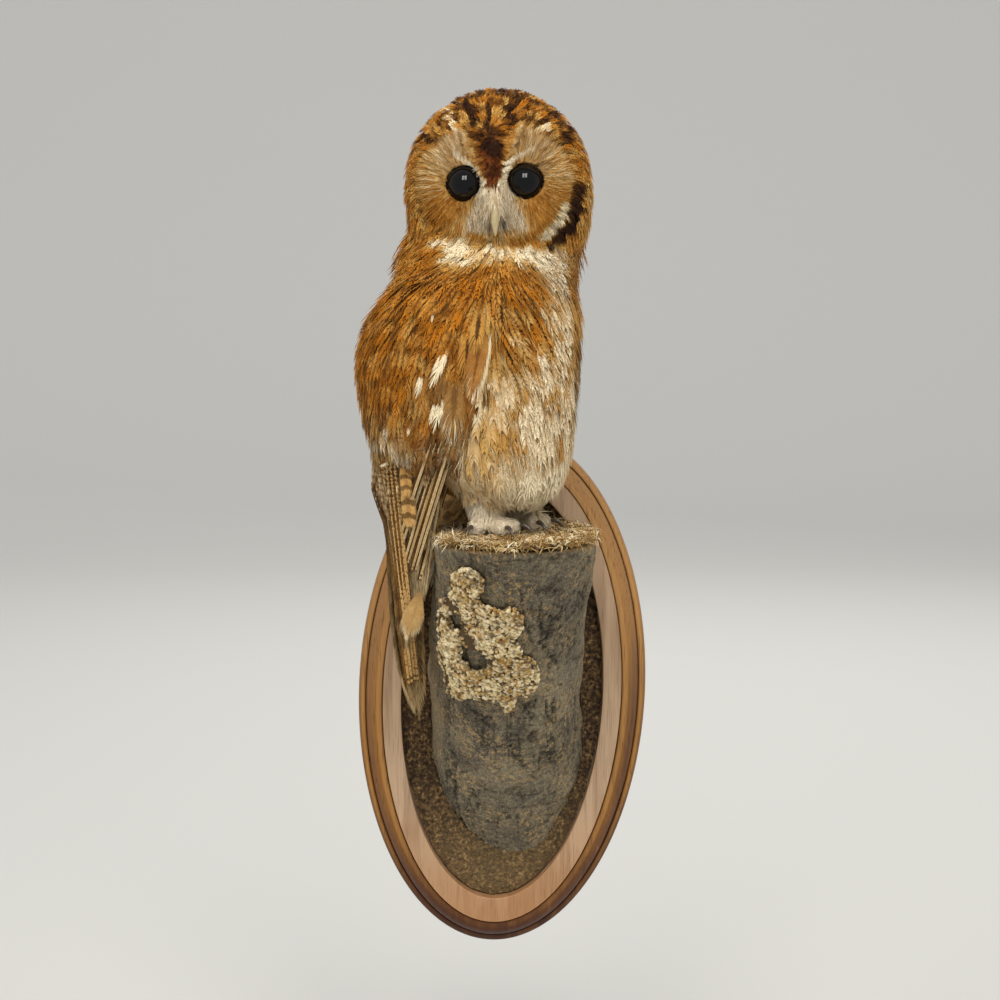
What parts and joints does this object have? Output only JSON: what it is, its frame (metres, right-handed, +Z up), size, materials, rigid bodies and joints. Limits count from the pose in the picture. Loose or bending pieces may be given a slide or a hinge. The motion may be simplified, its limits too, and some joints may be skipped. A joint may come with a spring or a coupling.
{
  "type": "mounted tawny owl on a wall plaque",
  "caption": "Life-size taxidermy tawny owl on a lichened log that leans out of an oval walnut wall plaque, its body turned and its face to the viewer.",
  "frame": {"origin": "centre of the plaque's flat back, on the wall", "axes": "+Y into the wall, +Z up, +X to the right of someone who faces the wall"},
  "size_m": [0.1924, 0.1757, 0.5693],
  "materials": {
    "walnut": "satin",
    "mulch": "matte",
    "bark": "matte",
    "lichen": "matte",
    "rufous": "soft",
    "breast": "soft",
    "flight": "soft",
    "cream": "soft",
    "horn": "satin",
    "claw": "satin",
    "glass_eye": "gloss"
  },
  "bodies": {
    "root": {"plaque": "walnut", "ground": "mulch", "log": "bark", "lichen_top": "lichen", "lichen_patch": "lichen", "head": "rufous", "neck": "rufous", "trunk": "breast", "eye_right": "glass_eye", "eye_left": "glass_eye", "bill": "horn", "wing_right": "rufous", "primaries_right": "flight", "wing_left": "rufous", "primaries_left": "flight", "tail": "flight", "leg_right": "cream", "leg_left": "cream", "foot_right": "cream", "foot_left": "cream", "claw_right_1": "claw", "claw_right_2": "claw", "claw_right_3": "claw", "claw_right_4": "claw", "claw_left_1": "claw", "claw_left_2": "claw", "claw_left_3": "claw", "claw_left_4": "claw"}
  },
  "joints": []
}
